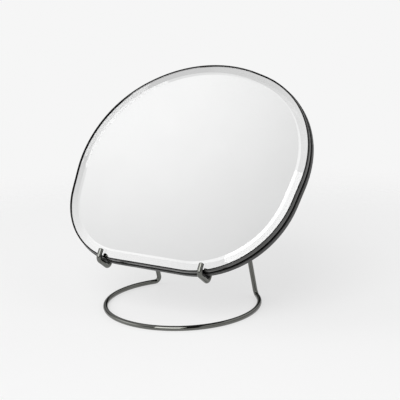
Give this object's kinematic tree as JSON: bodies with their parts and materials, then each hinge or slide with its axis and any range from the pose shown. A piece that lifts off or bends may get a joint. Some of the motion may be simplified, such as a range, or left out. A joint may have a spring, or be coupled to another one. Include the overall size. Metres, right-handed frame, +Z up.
{
  "type": "table mirror",
  "caption": "Freestanding table mirror: bevelled glass of free rounded outline in a narrow metal rim, standing in the hooks of a bent wire stand and leaning on its arms.",
  "frame": {"origin": "centre of the stand's ring, on the surface that the ring rests on", "axes": "+X to the right of someone facing the mirror, +Y away from them, +Z up"},
  "size_m": [0.2583, 0.1631, 0.242],
  "materials": {
    "dark_chrome_wire": "dark chrome, polished",
    "dark_chrome_rim": "dark chrome, satin",
    "silvered_glass": "silvered, polished bevel",
    "dark_steel_dish": "dark grey powder coat, satin",
    "fibre_board": "raw fibre board",
    "black_rubber": "matt black",
    "white_foam": "white closed-cell foam",
    "dark_felt": "dark grey felt",
    "zinc_screw": "zinc-plated"
  },
  "bodies": {
    "stand": {"wire_stand": "dark_chrome_wire", "hook_pad_left": "black_rubber", "hook_pad_right": "black_rubber"},
    "mirror": {"rim_band": "dark_chrome_rim", "seam_plate": "zinc_screw", "rim_screws": "zinc_screw", "mirror_glass": "silvered_glass", "glass_tape": "white_foam", "foam_strips": "white_foam", "core_board": "fibre_board", "back_shell": "dark_steel_dish", "shell_screws": "zinc_screw", "back_felt": "dark_felt", "rear_bumpers": "black_rubber"}
  },
  "joints": [
    {"name": "mirror_lift", "type": "slide", "parent": "stand", "child": "mirror", "axis": [0, 0.5878, 0.809], "range_m": [0, 0.03]}
  ]
}
